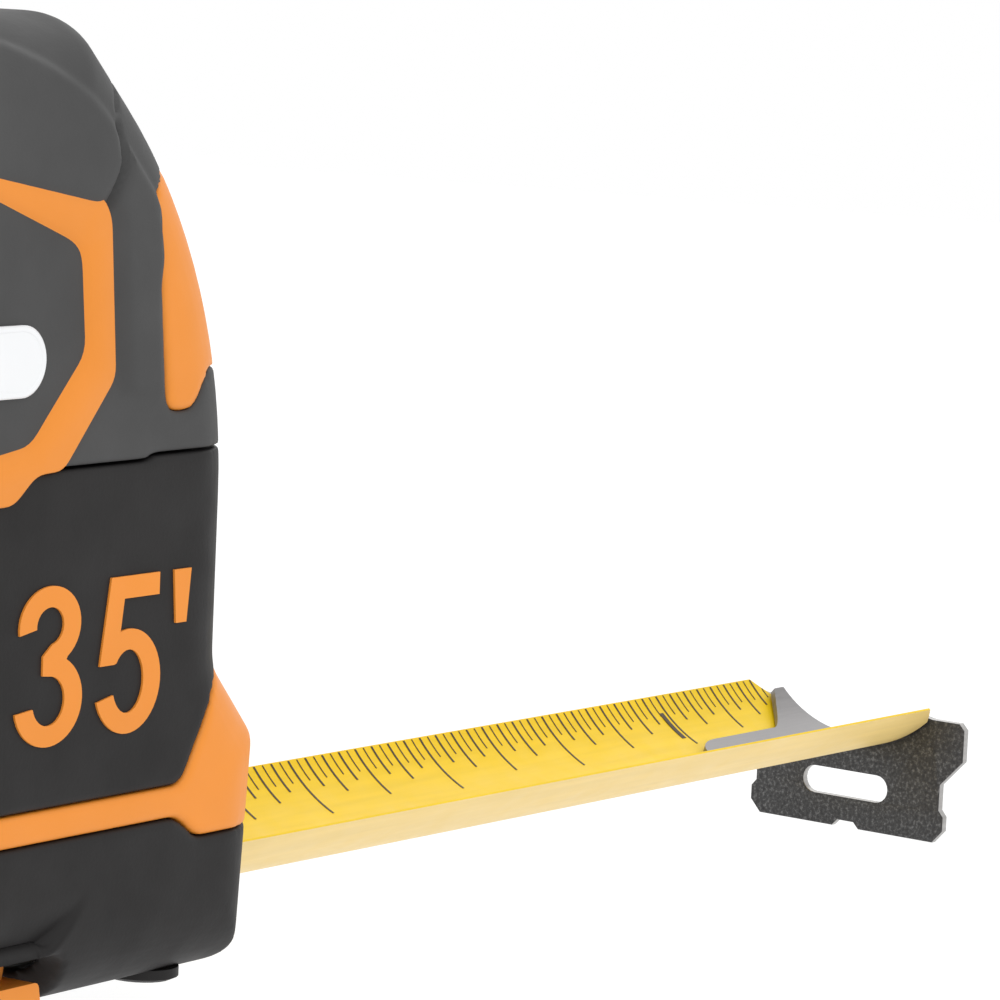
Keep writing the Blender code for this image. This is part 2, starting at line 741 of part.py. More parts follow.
def make_lock(mats, parent):
    pivot = (ARC_X, 0.0, ARC_Z)
    button = link("lock_button", arc_block(50.8, 55.0, 13.4, 26.0, 7.8), mats["trim"], parent, pivot)
    stem = link("lock_stem", arc_block(45.5, 51.5, 16.0, 21.5, 4.5), None, parent)
    arm = link("lock_arm", arc_block(44.6, 46.4, 4.2, 24.0, 6.0, 10), None, parent)
    boolean(button, "UNION", stem)
    boolean(button, "UNION", arm)
    tip = RIVET_TOP + GAP
    half = [(4.5, tip), (7.0, tip + 3.8), (7.0, ARC_Z + 2.8)]
    outline = half + [(-y, z) for y, z in reversed(half)]
    link("lock_shoe", length_prism(outline, 29.9, 31.7), mats["plastic"], parent)


BRAKE_PIVOT = (8.6, 0.0, 3.6)


def make_brake(mats, parent):
    """The finger brake: a plate in the underside, on moulded trunnions, with a post that lifts the blade to the coil."""
    outline = [(-19.5, 2.6), (-18.0, 1.4), (8.6, 1.4), (10.6, 2.6), (10.9, 4.0), (9.6, 5.2), (-17.5, 5.2), (-19.5, 4.4)]
    lever = link("brake_lever", side_prism(outline, -19.4, 19.4), mats["trim"], parent, BRAKE_PIVOT)
    post = link("brake_post", box((-12.0, -8.0, 4.5), (-6.5, 8.0, 13.4)), None, parent)
    boolean(lever, "UNION", post)


CLIP_X, CLIP_HALF_WIDTH, CLIP_T = -3.0, 9.5, 1.1


def clip_path():
    """The clip's middle line as (y, z): a foot on the case, a round bend at the top, and an arm with a kicked-out end."""
    foot_y = HALF_WIDTH + GAP + CLIP_T / 2
    bend = [(foot_y + 3.4 - 3.4 * math.cos(a), 76.0 + 3.4 * math.sin(a)) for a in half_turn(0, 180, 8)]
    return [(foot_y, 58.0)] + bend + [(foot_y + 6.4, 50.0), (foot_y + 5.4, 26.0), (foot_y + 7.4, 19.0)]


def strip_rings(path, thickness, x0, x1):
    """Rings of a flat strip that follows a path of (y, z) points."""
    points = [Vector(p) for p in path]
    rings = []
    for i, point in enumerate(points):
        before = points[max(i - 1, 0)]
        after = points[min(i + 1, len(points) - 1)]
        along = (after - before).normalized()
        side = Vector((-along.y, along.x)) * thickness / 2
        low, high = point - side, point + side
        rings.append([Vector((x, p.x, p.y)) for x, p in ((x0, low), (x1, low), (x1, high), (x0, high))])
    return rings


def make_clip(mats, parent):
    x0, x1 = CLIP_X - CLIP_HALF_WIDTH, CLIP_X + CLIP_HALF_WIDTH
    clip = link("belt_clip", loft(strip_rings(clip_path(), CLIP_T, x0, x1)), mats["steel"], parent)
    hole = rod(2.3, HALF_WIDTH - 1, HALF_WIDTH + 4, CLIP_X, 66.0, 16)
    boolean(clip, "DIFFERENCE", link("clip_hole", hole, None, parent))
    top = HALF_WIDTH + GAP + CLIP_T + GAP
    profile = [(0.0, top + 1.3), (2.6, top + 1.3), (3.4, top + 0.5), (3.4, top), (2.0, top)]
    profile += [(2.0, HALF_WIDTH + 0.05), (0.0, HALF_WIDTH + 0.05)]
    link("clip_screw", solid_of_turn(profile, CLIP_X, 66.0, 16), mats["steel"], parent)


# ---------------------------------------------------------------- assembly


def main():
    clear_scene()
    mats = make_materials()
    root = bpy.data.objects.new("tape_measure", None)
    bpy.context.scene.collection.objects.link(root)
    root.location = (-FOOT_X * MM, 0.0, 0.0)
    cutters = make_cutters(root)
    for side in ("near", "far"):
        shell_half(side, mats, cutters, root)
    make_covers(mats, cutters, root)
    make_screws(mats, root)
    make_emblem(mats, root)
    make_numerals(mats, root)
    make_reel(mats, root)
    make_blade(mats, root)
    make_lead(mats, root)
    make_hook(mats, root)
    make_rivets(mats, root)
    make_lock(mats, root)
    make_brake(mats, root)
    make_clip(mats, root)


main()
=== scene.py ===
"""The looks of the tape measure: covers, printed blade, hook, their materials, and a plain studio.

Every piece is made in millimetres in the case's own frame, whose zero is under the middle of the case, and
placed by place(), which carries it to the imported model's frame.
"""

import json
import math

import bmesh
import bpy
import numpy as np
from mathutils import Matrix, Vector


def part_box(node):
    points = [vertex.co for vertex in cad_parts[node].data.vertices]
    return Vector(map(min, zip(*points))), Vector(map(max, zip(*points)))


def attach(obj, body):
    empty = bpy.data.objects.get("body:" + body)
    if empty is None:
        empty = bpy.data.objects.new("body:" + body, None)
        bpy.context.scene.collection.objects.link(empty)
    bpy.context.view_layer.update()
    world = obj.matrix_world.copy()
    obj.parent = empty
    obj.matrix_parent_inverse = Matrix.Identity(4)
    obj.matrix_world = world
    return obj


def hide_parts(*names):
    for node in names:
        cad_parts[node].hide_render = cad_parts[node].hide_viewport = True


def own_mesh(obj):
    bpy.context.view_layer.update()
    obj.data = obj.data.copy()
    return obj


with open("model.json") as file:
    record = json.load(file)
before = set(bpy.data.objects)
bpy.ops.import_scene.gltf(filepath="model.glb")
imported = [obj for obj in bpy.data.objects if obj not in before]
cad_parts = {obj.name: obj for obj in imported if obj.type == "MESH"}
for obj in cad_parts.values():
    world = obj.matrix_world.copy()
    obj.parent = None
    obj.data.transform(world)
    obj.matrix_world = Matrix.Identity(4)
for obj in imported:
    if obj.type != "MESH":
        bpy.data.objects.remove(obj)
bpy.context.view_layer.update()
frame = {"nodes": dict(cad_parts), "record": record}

MM = 0.001


def box_mm(node):
    low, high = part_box(node)
    return [c / MM for c in low], [c / MM for c in high]


# The case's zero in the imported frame, from the CAD: the reel turns 3 mm behind the middle of the case
REEL_X = -3.0
coil_low, coil_high = box_mm("blade_coil")
SHIFT_X = (coil_low[0] + coil_high[0]) / 2 - REEL_X
HALF_WIDTH = box_mm("lower_cover_far")[1][1]
EDGE_ROUND = 9.0
COVER = 3.0
# Each corner is (x, z, radius); the crown is a little lower and the front foot squarer than in the CAD
CASE_CORNERS = [
    (43.6, 0.0, 2.8),
    (45.4, 24.0, 3.0),
    (38.6, 31.5, 2.5),
    (38.8, 70.0, 53.0),
    (15.0, 93.0, 6.0),
    (-45.5, 91.5, 34.0),
    (-45.5, 0.0, 15.0),
]
FAR = 70.0
VOXEL = 0.45

# Blade
blade_low, blade_high = box_mm("blade")
BLADE_Z = blade_low[2]
BLADE_INNER_X = blade_low[0] - SHIFT_X
BLADE_END_X = blade_high[0] - SHIFT_X
BLADE_WIDTH = 31.75
BLADE_T = 0.25
BLADE_HALF_ANGLE = math.radians(50.8)
BLADE_R = BLADE_WIDTH / 2 / BLADE_HALF_ANGLE
BLADE_CHAMFER = 3.0
INCH = 25.4

# Hook
hook_low, hook_high = box_mm("hook")
HOOK_T = 1.1
HOOK_X = hook_high[0] - SHIFT_X - HOOK_T
TONGUE_EXTRA = 4.5  # the strip is drawn this much longer than the CAD's
TONGUE_START = hook_low[0] - SHIFT_X - TONGUE_EXTRA


# ---------------------------------------------------------------- making meshes


def mesh_from(bm, name):
    mesh = bpy.data.meshes.new(name)
    bm.to_mesh(mesh)
    bm.free()
    return mesh


def new_object(name, mesh, mat=None):
    obj = bpy.data.objects.new(name, mesh)
    bpy.context.scene.collection.objects.link(obj)
    if mat is not None:
        mesh.materials.append(mat)
    return obj


def place(name, mesh, mat, body, replaced=(), sharp=35.0):
    """Makes a finished piece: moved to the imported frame, shaded, riding on its body."""
    mesh.transform(Matrix.Scale(MM, 4) @ Matrix.Translation((SHIFT_X, 0.0, 0.0)))
    obj = new_object(name, mesh, mat)
    mesh.shade_smooth()
    if sharp:
        mesh.set_sharp_from_angle(angle=math.radians(sharp))
    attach(obj, body)
    if replaced:
        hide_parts(*replaced)
    return obj


def loft_into(bm, rings, flip=False):
    loops = [[bm.verts.new(point) for point in ring] for ring in rings]
    count = len(rings[0])
    faces = [bm.faces.new(loops[0]), bm.faces.new(reversed(loops[-1]))]
    for low, high in zip(loops, loops[1:]):
        for i in range(count):
            j = (i + 1) % count
            faces.append(bm.faces.new((low[i], high[i], high[j], low[j])))
    bmesh.ops.recalc_face_normals(bm, faces=faces)
    if flip:
        bmesh.ops.reverse_faces(bm, faces=faces)


def loft(*ring_lists):
    """One closed body, or a body and the hollows in it: the first list of rings is the outside."""
    bm = bmesh.new()
    for number, rings in enumerate(ring_lists):
        loft_into(bm, rings, flip=number > 0)
    return mesh_from(bm, "loft")


def side_prism(outline, y0, y1):
    return loft([[Vector((x, y, z)) for x, z in outline] for y in (y0, y1)])


def filled_prism(outline, y0, y1):
    """Like side_prism, with its ends cut into triangles, for an outline with deep hollows."""
    mesh = side_prism(outline, y0, y1)
    bm = bmesh.new()
    bm.from_mesh(mesh)
    ends = [face for face in bm.faces if len(face.verts) > 4]
    bmesh.ops.triangulate(bm, faces=ends, ngon_method="BEAUTY")
    return mesh_from(bm, "filled")


def length_prism(outline, x0, x1):
    return loft([[Vector((x, y, z)) for y, z in outline] for x in (x0, x1)])


def box(low, high):
    outline = [(low[0], low[2]), (high[0], low[2]), (high[0], high[2]), (low[0], high[2])]
    return side_prism(outline, low[1], high[1])


def modified(mesh, steps, cutters=()):
    """The mesh after a stack of modifiers: each step is (type, settings)."""
    obj = new_object("work", mesh)
    tools = []
    for operation, cutter in cutters:
        tool = new_object("tool", cutter)
        tools.append(tool)
        modifier = obj.modifiers.new("boolean", "BOOLEAN")
        modifier.operation = operation
        modifier.object = tool
        modifier.solver = "EXACT"
    for kind, settings in steps:
        modifier = obj.modifiers.new(kind, kind)
        for key, value in settings.items():
            setattr(modifier, key, value)
    bpy.context.view_layer.update()
    made = bpy.data.meshes.new_from_object(obj.evaluated_get(bpy.context.evaluated_depsgraph_get()))
    for used in [obj, *tools]:
        bpy.data.objects.remove(used, do_unlink=True)
    return made


def arc(cx, cz, rx, rz, low, high, count):
    """Points on an ellipse from one angle to another, in degrees."""
    turns = [math.radians(low + (high - low) * k / count) for k in range(count + 1)]
    return [(cx + rx * math.cos(a), cz + rz * math.sin(a)) for a in turns]


def softened(points, radius, steps=4):
    """The outline with each corner replaced by a short curve."""
    made = []
    count = len(points)
    for i, point in enumerate(points):
        corner = Vector(point)
        before, after = Vector(points[i - 1]), Vector(points[(i + 1) % count])
        reach_in = min(radius, (before - corner).length * 0.45)
        reach_out = min(radius, (after - corner).length * 0.45)
        start = corner + (before - corner).normalized() * reach_in
        end = corner + (after - corner).normalized() * reach_out
        for k in range(steps + 1):
            t = k / steps
            made.append(tuple(start.lerp(corner, t).lerp(corner.lerp(end, t), t)))
    return made


# ---------------------------------------------------------------- the case's surface


def crossing(first, second):
    (p, d), (q, e) = first, second
    return p + d * ((q - p).cross(e) / d.cross(e))


def rounded(corners, inset):
    """The case's outline moved inwards by inset, with the same number of points at any inset."""
    edges = []
    for (x0, z0, _), (x1, z1, _) in zip(corners, corners[1:] + corners[:1]):
        along = Vector((x1 - x0, z1 - z0)).normalized()
        edges.append((Vector((x0, z0)) + Vector((-along.y, along.x)) * inset, along))
    points = []
    for i, (_, _, radius) in enumerate(corners):
        before, after = edges[i - 1], edges[i]
        corner = crossing(before, after)
        turn = math.atan2(before[1].cross(after[1]), before[1].dot(after[1]))
        left = math.copysign(1.0, turn)
        radius = max(radius - left * inset, 0.5)
        back = radius * math.tan(abs(turn) / 2)
        start = corner - before[1] * back
        side = Vector((-before[1].y, before[1].x)) * left
        centre = start + side * radius
        steps = max(3, math.ceil(abs(turn) / math.radians(3)))
        for k in range(steps + 1):
            arm = -side * radius
            arm.rotate(Matrix.Rotation(turn * k / steps, 2))
            points.append(centre + arm)
    return points


def case_body(inset, half_width, edge, steps):
    quarter = [math.pi / 2 * k / steps for k in range(steps + 1)]
    half = [(half_width - edge * (1 - math.sin(a)), edge * (1 - math.cos(a))) for a in quarter]
    half = [(-y, more) for y, more in reversed(half)] + half
    return [[Vector((p.x, y, p.y)) for p in rounded(CASE_CORNERS, inset + more)] for y, more in half]


def cover_solid():
    outside = case_body(0.0, HALF_WIDTH, EDGE_ROUND, 12)
    inside = case_body(COVER, HALF_WIDTH - COVER, EDGE_ROUND - COVER, 6)
    return loft(outside, inside)


# ---------------------------------------------------------------- relief on the sides

RING_MIDDLE_X = -3.0


def mirrored(half):
    """Completes an outline given as its right half, bottom to top, about the ring's middle."""
    other = [(2 * RING_MIDDLE_X - x, z) for x, z in reversed(half)]
    full = list(half)
    for point in other:
        if all(math.dist(point, kept) > 0.01 for kept in full):
            full.append(point)
    return full


CAP_HALF = [
    (-3.0, 78.2),
    (13.2, 75.4),
    (14.8, 76.6),
    (16.3, 79.0),
    (15.9, 81.4),
    (15.0, 83.2),
    (13.3, 84.6),
    (10.3, 86.6),
    (6.4, 88.6),
    (1.6, 90.4),
    (-3.0, 90.8),
]
PAD = [
    (17.5, 58.0),
    (23.9, 57.0),
    (22.8, 68.3),
    (23.9, 72.0),
    (23.3, 74.4),
    (21.7, 76.7),
    (17.0, 81.4),
    (16.9, 78.9),
    (15.0, 75.6),
    (15.9, 74.6),
]
SHORT_GROOVE = ((16.6, 84.3), (20.2, 88.4))
CREASE = ((16.1, 82.6), (16.8, 79.4), (14.7, 75.4))
SCALLOP_CREASE = ((15.2, 11.6), (12.5, 8.6), (8.0, 4.6), (4.5, 1.0))


def smoothstep(value, low, high):
    t = np.clip((value - low) / (high - low), 0.0, 1.0)
    return t * t * (3.0 - 2.0 * t)


def segment_distance(x, z, a, b):
    ax, az = a
    dx, dz = b[0] - ax, b[1] - az
    t = np.clip(((x - ax) * dx + (z - az) * dz) / (dx * dx + dz * dz), 0.0, 1.0)
    return np.hypot(x - ax - t * dx, z - az - t * dz)


def line_distance(x, z, points):
    return np.minimum.reduce([segment_distance(x, z, a, b) for a, b in zip(points, points[1:])])


def inside_distance(x, z, polygon):
    """How far each point is inside the polygon: negative outside it."""
    closed = list(polygon) + [polygon[0]]
    distance = line_distance(x, z, closed)
    inside = np.zeros(len(x), bool)
    for (x0, z0), (x1, z1) in zip(closed, closed[1:]):
        if z0 == z1:
            continue
        crosses = (z0 > z) != (z1 > z)
        inside ^= crosses & (x < x0 + (z - z0) * (x1 - x0) / (z1 - z0))
    return np.where(inside, distance, -distance)


def side_relief(x, z):
    """Height of the moulded shapes on the sides, in millimetres, over the plain surface."""
    height = 0.85 * smoothstep(inside_distance(x, z, softened(mirrored(CAP_HALF), 1.5)), -0.7, 1.3)
    height += 0.7 * smoothstep(inside_distance(x, z, softened(PAD, 1.2)), -0.5, 1.2)
    height -= 0.8 * (1.0 - smoothstep(line_distance(x, z, CREASE), 0.1, 0.75))
    height -= 0.7 * (1.0 - smoothstep(line_distance(x, z, SHORT_GROOVE), 0.1, 0.6))
    return height


def scallop_relief(x, z):
    """The hollow for a finger, low on each side, whose front edge is a crisp crease."""
    front = np.interp(z, [p[1] for p in reversed(SCALLOP_CREASE)], [p[0] for p in reversed(SCALLOP_CREASE)])
    back = 2 * RING_MIDDLE_X - front - 16.0
    across = smoothstep(front - x, -0.3, 0.8) * smoothstep(x - back, -0.5, 5.0)
    return -2.4 * across * smoothstep(12.0 - z, 0.0, 8.0)


def push_out(mesh, relief):
    """Moves the outer surface of the sides by a relief of (x, z)."""
    count = len(mesh.vertices)
    points = np.empty(count * 3)
    normals = np.empty(count * 3)
    mesh.vertices.foreach_get("co", points)
    mesh.vertices.foreach_get("normal", normals)
    points, normals = points.reshape(-1, 3), normals.reshape(-1, 3)
    side = np.sign(points[:, 1])
    outer = smoothstep(normals[:, 1] * side, 0.25, 0.75)
    points += normals * (outer * relief(points[:, 0], points[:, 2]))[:, None]
    mesh.vertices.foreach_set("co", points.ravel())
    mesh.update()


# ---------------------------------------------------------------- covers

GROOVE_Z, GROOVE_STEP_Z, GROOVE_STEP_X = 51.5, 52.0, 22.5
BAND_TOP, BAND_BOTTOM, NOSE_BOTTOM = 20.0, 17.0, 14.7
SPLIT = 0.12

UPPER = [
    (-FAR, GROOVE_Z + 0.14),
    (GROOVE_STEP_X - 0.4, GROOVE_Z + 0.14),
    (GROOVE_STEP_X + 0.3, GROOVE_STEP_Z + 0.14),
    (FAR, GROOVE_STEP_Z + 0.14),
    (FAR, 2 * FAR),
    (-FAR, 2 * FAR),
]
LOWER = [
    (-FAR, BAND_TOP + SPLIT),
    (28.7, BAND_TOP + SPLIT),
    (33.5, 28.4 + SPLIT),
    (37.6, 31.2 + SPLIT),
    (FAR, 31.2 + SPLIT),
    (FAR, GROOVE_STEP_Z - 0.14),
    (GROOVE_STEP_X + 0.3, GROOVE_STEP_Z - 0.14),
    (GROOVE_STEP_X - 0.4, GROOVE_Z - 0.14),
    (-FAR, GROOVE_Z - 0.14),
]
NOSE = [
    (-FAR, BAND_BOTTOM),
    (27.9, BAND_BOTTOM),
    (29.5, 16.2),
    (31.3, NOSE_BOTTOM),
    (FAR, NOSE_BOTTOM),
    (FAR, 31.2),
    (37.6, 31.2),
    (33.7, 28.4),
    (28.8, BAND_TOP),
    (-FAR, BAND_TOP),
]
BASE = [
    (-FAR, -FAR),
    (FAR, -FAR),
    (FAR, NOSE_BOTTOM - SPLIT),
    (31.2, NOSE_BOTTOM - SPLIT),
    (29.4, 16.2 - SPLIT),
    (27.8, BAND_BOTTOM - SPLIT),
    (-FAR, BAND_BOTTOM - SPLIT),
]
FRONT_TRIM = [
    (24.7, 55.9),
    (28.7, 55.8),
    (30.9, 59.6),
    (FAR, 59.6),
    (FAR, 78.4),
    (25.6, 78.4),
    (21.8, 76.2),
    (22.9, 68.3),
]
ARC_X, ARC_Z = -14.2, 47.5
BRAKE_LIP_HALF = 22.6


def lock_window():
    outline = arc(ARC_X, ARC_Z, 57.0, 57.0, 12.6, 35.0, 10) + arc(ARC_X, ARC_Z, 48.0, 48.0, 35.0, 12.6, 10)
    return side_prism(outline, -8.3, 8.3)


def mouth():
    low, high = (8.0, -15.9, 1.0), (FAR, 15.9, 12.5)
    return box(low, high)


def finger_recess():
    outline = [(-23.5, -5), (15.5, -5), (14.0, 3.0), (12.6, 5.9), (-21.6, 5.9)]
    return side_prism(softened(outline, 1.5), -FAR, FAR)


def screw_wells():
    wells = []
    for number in range(1, 5):
        low, high = box_mm(f"case_screw_{number}")
        x, z = (low[0] + high[0]) / 2 - SHIFT_X, (low[2] + high[2]) / 2
        wells.append(("DIFFERENCE", side_prism(arc(x, z, 3.3, 3.3, 0, 345, 23), HALF_WIDTH - 4.5, FAR)))
    return wells


def moulded(region, y0, y1, cuts, relief=None, radius=1.3):
    """One cover: its stretch of the case's skin, with soft moulded edges and its relief."""
    cutters = [("INTERSECT", side_prism(softened(region, radius), y0, y1)), *cuts]
    mesh = modified(cover_solid(), [], cutters)
    mesh = modified(
        mesh,
        [
            ("REMESH", {"mode": "VOXEL", "voxel_size": VOXEL}),
            ("SMOOTH", {"factor": 0.5, "iterations": 3}),
        ],
    )
    if relief is not None:
        push_out(mesh, relief)
    return mesh


def make_covers(mats):
    sides = {"near": (-FAR, -SPLIT), "far": (SPLIT, FAR)}
    notch = softened(FRONT_TRIM, 1.6)
    for side, (y0, y1) in sides.items():
        wells = screw_wells() if side == "far" else []
        cuts = [("DIFFERENCE", side_prism(notch, -FAR, FAR)), ("DIFFERENCE", lock_window()), *wells]
        grip = moulded(UPPER, y0, y1, cuts, side_relief)
        place(f"grip_{side}", grip, mats["grip"], "case", (f"upper_grip_{side}",), 0)
        lower = moulded(LOWER, y0, y1, [])
        place(f"cover_{side}", lower, mats["cover"], "case", (f"lower_cover_{side}",), 0)
        trim = moulded(FRONT_TRIM, y0, y1, [("DIFFERENCE", lock_window())], None, 1.6)
        place(f"trim_{side}", trim, mats["trim"], "case", (f"front_trim_{side}",), 0)
    cuts = [("DIFFERENCE", mouth()), ("DIFFERENCE", finger_recess()), *screw_wells()]
    base = moulded(BASE, -FAR, FAR, cuts, scallop_relief)
    place("base", base, mats["cover"], "case", ("base_cover",), 0)
    nose = moulded(NOSE, -FAR, FAR, screw_wells())
    place("nose", nose, mats["trim"], "case", ("nose_band",), 0)


def make_feet(mats):
    """Two small pads under the front corners of the base."""
    for side, sign in (("near", -1), ("far", 1)):
        rings = []
        for z, share in ((0.8, 1.0), (-0.15, 1.0), (-0.5, 0.82), (-0.6, 0.6)):
            outline = arc(33.6, sign * 17.5, 3.6 * share, 4.2 * share, 0, 345, 23)
            rings.append([Vector((x, y, z)) for x, y in outline])
        place(f"foot_{side}", loft(rings), mats["cover"], "case", (), 40)


def make_brake_lip(mats):
    """The front edge of the finger brake, which reaches out to the sides of the base."""
    outline = softened([(5.0, 0.9), (12.6, 0.6), (12.2, 2.9), (5.0, 2.9)], 0.6)
    lip = side_prism(outline, -BRAKE_LIP_HALF, BRAKE_LIP_HALF)
    place("brake_lip", lip, mats["trim"], "brake", (), 40)


# ---------------------------------------------------------------- ring, badge and numerals

RING_OUTER = [
    (2.0, 48.6),
    (5.2, 51.2),
    (9.0, 51.4),
    (16.2, 59.6),
    (14.9, 74.4),
    (13.7, 76.2),
    (-3.0, 81.6),
]
RING_INNER = [(-3.0, 53.4), (4.2, 54.4), (11.5, 62.2), (10.6, 70.8), (9.4, 72.0), (-3.0, 76.4)]
RING_HEIGHT = 0.4


def scaled(points, amount):
    """The outline grown by amount on each side of its middle."""
    xs, zs = [p[0] for p in points], [p[1] for p in points]
    cx, cz = (min(xs) + max(xs)) / 2, (min(zs) + max(zs)) / 2
    kx, kz = 1 + 2 * amount / (max(xs) - min(xs)), 1 + 2 * amount / (max(zs) - min(zs))
    return [(cx + (x - cx) * kx, cz + (z - cz) * kz) for x, z in points]


def make_ring(mats):
    """The raised ring: a flat crown with a rounded outer edge and an inner face that slopes to the cover."""
    foot = -HALF_WIDTH - 0.05
    crown = foot - RING_HEIGHT
    outer = softened(mirrored(RING_OUTER), 1.2)
    inner = softened(mirrored(RING_INNER), 1.4)
    body = side_prism(outer, crown, foot + 0.8)
    slope = loft(
        [
            [Vector((x, y, z)) for x, z in scaled(inner, grow)]
            for y, grow in ((foot + 2.0, 0.0), (foot + 0.3, 0.1), (crown - 0.05, 1.3), (crown - 1.0, 1.4))
        ]
    )
    mesh = modified(
        body,
        [("BEVEL", {"width": 0.35, "segments": 3, "limit_method": "ANGLE", "angle_limit": math.radians(50)})],
        [("DIFFERENCE", slope)],
    )
    place("ring", mesh, mats["trim"], "case", ("emblem_ring",), 40)


def pill(length, height, x, z, count=24):
    r = height / 2
    reach = length / 2 - r
    return arc(x + reach, z, r, r, -90, 90, count) + arc(x - reach, z, r, r, 90, 270, count)


def make_badge(mats):
    """A plain raised badge: a rim with a slightly domed face."""
    outline = pill(18.0, 6.6, RING_MIDDLE_X, 61.7)
    foot = -HALF_WIDTH - 0.05
    steps = ((-0.8, 0.0), (0.3, 0.0), (0.42, -0.15), (0.42, -0.5), (0.34, -0.6), (0.38, -1.4), (0.42, -2.6))
    rings = [[Vector((x, foot - h, z)) for x, z in scaled(outline, grow)] for h, grow in steps]
    place("badge_face", loft(rings), mats["badge"], "case", ("badge",), 30)


def numeral_three():
    cx, upper_z, lower_z = 4.85, 11.2, 4.25
    outline = arc(cx, upper_z, 4.4, 3.7, 189, -54, 28)
    outline += arc(cx, lower_z, 4.85, 4.25, 60, -169, 30)
    outline += arc(cx, lower_z, 2.3, 2.3, -166, 78, 24)
    outline += [(3.9, 6.65), (3.9, 8.45)]
    outline += arc(cx, upper_z, 1.95, 1.75, -78, 186, 22)
    return outline


def numeral_five():
    cx, cz = 4.85, 4.95
    outline = [(0.6, 6.7), (2.0, 14.9), (9.2, 14.9), (9.2, 12.8), (4.0, 12.8), (3.45, 9.25)]
    outline += arc(cx, cz, 4.85, 4.95, 106, -161, 34)
    outline += arc(cx, cz, 2.3, 3.0, -158, 142, 28)
    outline += [(2.7, 6.7)]
    return outline


def foot_stroke():
    return [(0.45, 9.8), (2.05, 9.8), (2.6, 14.9), (0.0, 14.9)]


def make_numerals(mats):
    """The 35 ft mark, let into the near side a little proud of it."""
    marks = (("numeral_3", numeral_three()), ("numeral_5", numeral_five()), ("foot_mark", foot_stroke()))
    for name, outline in marks:
        low, high = box_mm(name)
        x = low[0] - SHIFT_X
        z = box_mm("numeral_5")[0][2]
        shape = [(x + px, z + pz) for px, pz in outline]
        mesh = filled_prism(shape, -HALF_WIDTH - 0.22, -HALF_WIDTH + 0.6)
        place(f"mark_{name}", mesh, mats["trim"], "case", (name,), 50)


# ---------------------------------------------------------------- blade

# The free blade hangs a little from the mouth, and leans to the far side
SAG_X, SAG_Z = 45.0, 6.0
SAG = math.radians(0.62)
LEAN = math.radians(0.34)


HOOK_SQUEEZE = 0.045
HOOK_TWIST = math.radians(1.2)


def sagged(mesh):
    """Bends a piece with the free blade: towards the hook it is also drawn in and turned a little."""
    reach = HOOK_X - SAG_X
    for v in mesh.vertices:
        share = min(max((v.co.x - SAG_X) / reach, 0.0), 1.0)
        v.co.z += v.co.y * HOOK_TWIST * share
        v.co.y *= 1 - HOOK_SQUEEZE * share
    middle = Matrix.Translation((SAG_X, 0.0, SAG_Z))
    turn = Matrix.Rotation(SAG, 4, "Y") @ Matrix.Rotation(LEAN, 4, "Z")
    mesh.transform(middle @ turn @ middle.inverted())
    return mesh


def blade_ring(x, share=1.0, count=40):
    angles = [BLADE_HALF_ANGLE * share * (2 * k / count - 1) for k in range(count + 1)]
    under = [(BLADE_R * math.sin(a), BLADE_R * (1 - math.cos(a))) for a in angles]
    r = BLADE_R - BLADE_T
    over = [(r * math.sin(a), BLADE_R - r * math.cos(a)) for a in reversed(angles)]
    return [Vector((x, y, BLADE_Z + h)) for y, h in under + over]


def squash_with_blade(obj):
    """Gives the piece a mesh of its own."""
    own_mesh(obj)


def make_blade(mats):
    stations = [BLADE_INNER_X + (BLADE_END_X - BLADE_CHAMFER - BLADE_INNER_X) * k / 60 for k in range(61)]
    rings = [blade_ring(x) for x in stations]
    half = BLADE_WIDTH / 2
    for k in range(1, 5):
        rings.append(blade_ring(BLADE_END_X - BLADE_CHAMFER * (1 - k / 4), 1 - BLADE_CHAMFER * k / 4 / half))
    mesh = sagged(loft(rings))
    blade = place("blade_strip", mesh, mats["blade"], "blade", ("blade",), 40)
    # The outward faces take a paler copy of the yellow: painted light from below.
    mesh.materials.append(mats["blade_back_painted_light"])
    for polygon in mesh.polygons:
        middle = polygon.center
        outward = Vector((0.0, middle.y, middle.z - (BLADE_Z + BLADE_R) * MM))
        if polygon.normal.dot(outward) > 0.0:
            polygon.material_index = 1
    squash_with_blade(blade)


PRINT_R = BLADE_R - BLADE_T - 0.015
PRINT_T = 0.03


def on_blade(x, along, r=PRINT_R):
    """The point on the blade's hollow face at an arc length from its far (+Y) edge."""
    a = BLADE_HALF_ANGLE - along / BLADE_R
    return Vector((x, r * math.sin(a), BLADE_Z + BLADE_R - r * math.cos(a)))


def add_tick(bm, x, start, end, width, mirror):
    """A printed line across the blade, from its edge inwards, as a thin closed strip."""
    steps = max(3, math.ceil((end - start) / 1.0))
    rings = []
    for k in range(steps + 1):
        along = start + (end - start) * k / steps
        along = BLADE_WIDTH - along if mirror else along
        low = [on_blade(x + s * width / 2, along, PRINT_R) for s in (-1, 1)]
        high = [on_blade(x + s * width / 2, along, PRINT_R - PRINT_T) for s in (1, -1)]
        rings.append(low + high)
    loft_into(bm, rings)


TICK_LENGTHS = {16: 8.6, 8: 7.2, 4: 5.5, 2: 4.2, 1: 3.1}


def tick_length(sixteenth):
    return next(length for step, length in TICK_LENGTHS.items() if sixteenth % step == 0)


def make_graduations(mats):
    bm = bmesh.new()
    count = int((BLADE_END_X - BLADE_INNER_X - 2.0) / (INCH / 16))
    for sixteenth in range(1, count + 1):
        x = BLADE_END_X - sixteenth * INCH / 16
        width = 0.34 if sixteenth % 2 == 0 else 0.2
        start = 0.15 if sixteenth > 1 else 1.6
        for mirror in (False, True):
            add_tick(bm, x, start, tick_length(sixteenth), width, mirror)
    ticks = place("graduations", sagged(mesh_from(bm, "graduations")), mats["ink"], "blade", (), 40)
    squash_with_blade(ticks)


